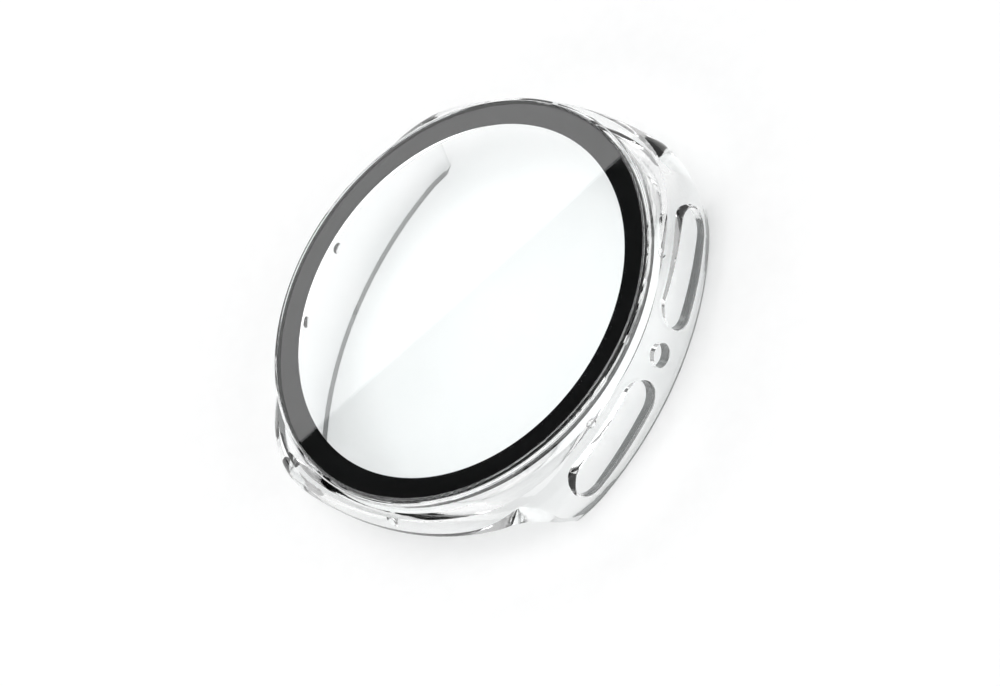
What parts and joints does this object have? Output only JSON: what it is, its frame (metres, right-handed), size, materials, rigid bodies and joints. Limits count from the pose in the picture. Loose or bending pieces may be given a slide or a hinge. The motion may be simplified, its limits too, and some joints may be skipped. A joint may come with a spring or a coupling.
{
  "type": "smartwatch bumper case",
  "caption": "Clear hard shell that snaps over a cushion-shaped smartwatch, with a flat round cover glass, key windows in one side and open strap sides.",
  "frame": {"origin": "centre of the case's footprint, in the plane that its open foot rests on", "axes": "+Z out through the cover glass, +X to the side with the key windows (three o'clock), +Y to twelve o'clock"},
  "size_m": [0.0462, 0.048, 0.0104],
  "materials": {
    "clear_polycarbonate": "clear moulded polycarbonate, polished inside and out",
    "cover_glass": "polished toughened glass with a ground round edge",
    "black_print": "black screen print on the underside of the glass",
    "clear_adhesive": "clear bonding adhesive"
  },
  "bodies": {
    "root": {"bumper_shell": "clear_polycarbonate", "cover_glass": "cover_glass", "printed_border": "black_print", "adhesive_ring": "clear_adhesive"}
  },
  "joints": []
}
